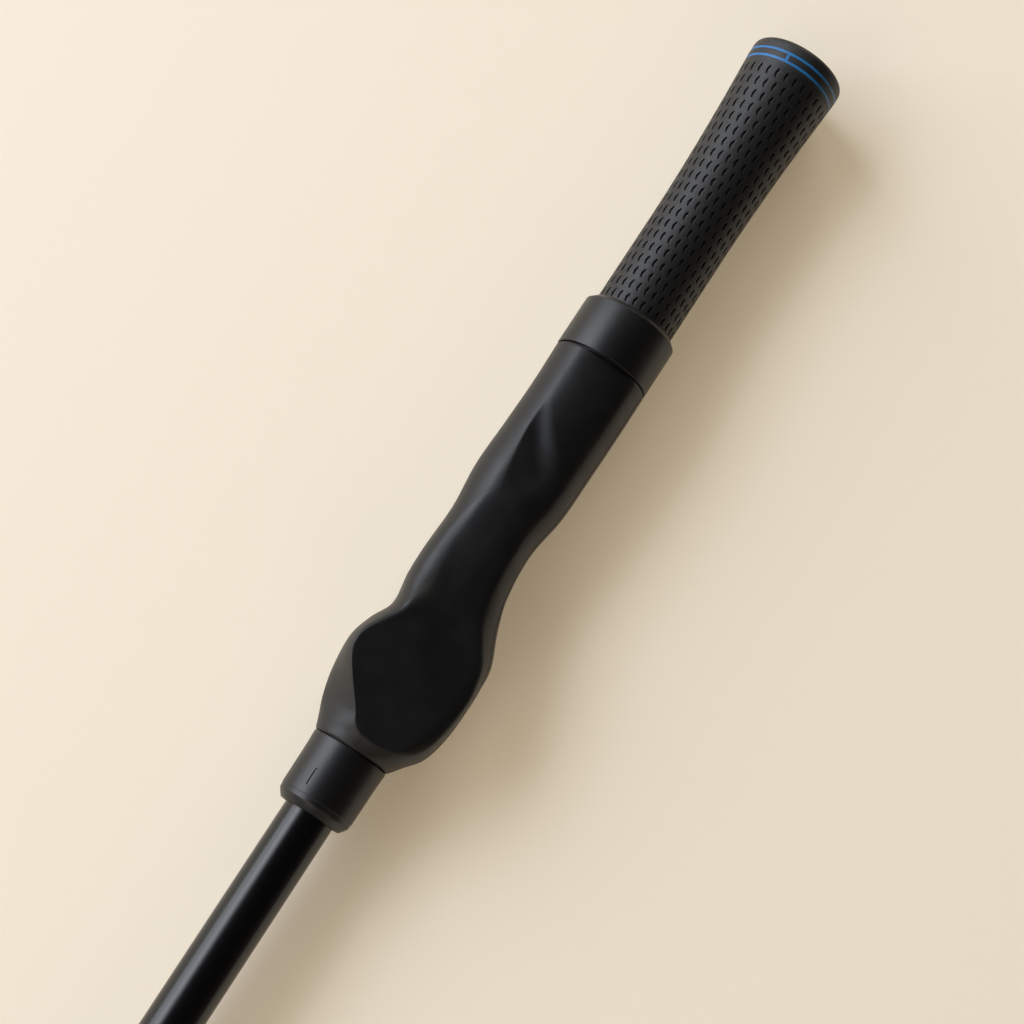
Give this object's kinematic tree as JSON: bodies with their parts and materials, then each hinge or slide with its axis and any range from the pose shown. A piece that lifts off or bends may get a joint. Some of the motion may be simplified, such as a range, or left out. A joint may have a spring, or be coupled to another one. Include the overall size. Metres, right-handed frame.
{
  "type": "swing trainer stick",
  "caption": "Short weighted golf swing trainer: steel shaft, textured rubber grip, and a moulded training grip that slides and turns on it.",
  "frame": {"origin": "centre of the butt end face, on the shaft's axis", "axes": "+X along the shaft from tip to butt, +Z out of the front of the moulded grip, where its flat pad faces, +Y to the thumb side"},
  "size_m": [0.711, 0.0391, 0.03],
  "materials": {
    "shaft_paint": "satin black paint on steel tube",
    "tape": "double-sided paper tape",
    "grip_rubber": "matt moulded rubber with fine slits",
    "cap_rubber": "smooth matt moulded rubber",
    "accent_blue": "blue paint filled into grooves",
    "liner_acetal": "natural moulded acetal",
    "soft_touch": "soft-touch moulded body with fine grain",
    "collar_plastic": "matt moulded ABS",
    "dowel_steel": "ground steel pin",
    "ferrule_plastic": "polished black cellulose",
    "weight_paint": "black powder coat on turned steel",
    "plug_metal": "turned",
    "screw_steel": "black oxide",
    "washer_steel": "zinc plated",
    "bumper_rubber": "matt moulded rubber"
  },
  "bodies": {
    "stick": {"shaft_tube": "shaft_paint", "grip_tape": "tape", "rubber_grip": "grip_rubber", "butt_cap": "cap_rubber", "accent_rings": "accent_blue", "ferrule": "ferrule_plastic", "weight_head": "weight_paint", "tip_plug": "plug_metal", "tip_screw": "screw_steel", "screw_washer": "washer_steel", "end_bumper": "bumper_rubber"},
    "carriage": {"liner": "liner_acetal"},
    "training_grip": {"front_shell": "soft_touch", "back_shell": "soft_touch", "shell_dowels": "dowel_steel", "lower_collar": "collar_plastic"},
    "lock_ring": {"lock_collar": "collar_plastic"}
  },
  "joints": [
    {"name": "grip_slide", "type": "slide", "parent": "stick", "child": "carriage", "axis": [-1, 0, 0], "range_m": [0, 0.366]},
    {"name": "grip_turn", "type": "hinge", "parent": "carriage", "child": "training_grip", "pos_m": [-0.18, 0, 0], "axis": [1, 0, 0], "continuous": true},
    {"name": "lock_turn", "type": "hinge", "parent": "training_grip", "child": "lock_ring", "pos_m": [-0.104, 0, 0], "axis": [1, 0, 0], "range_deg": [0, 90]}
  ]
}
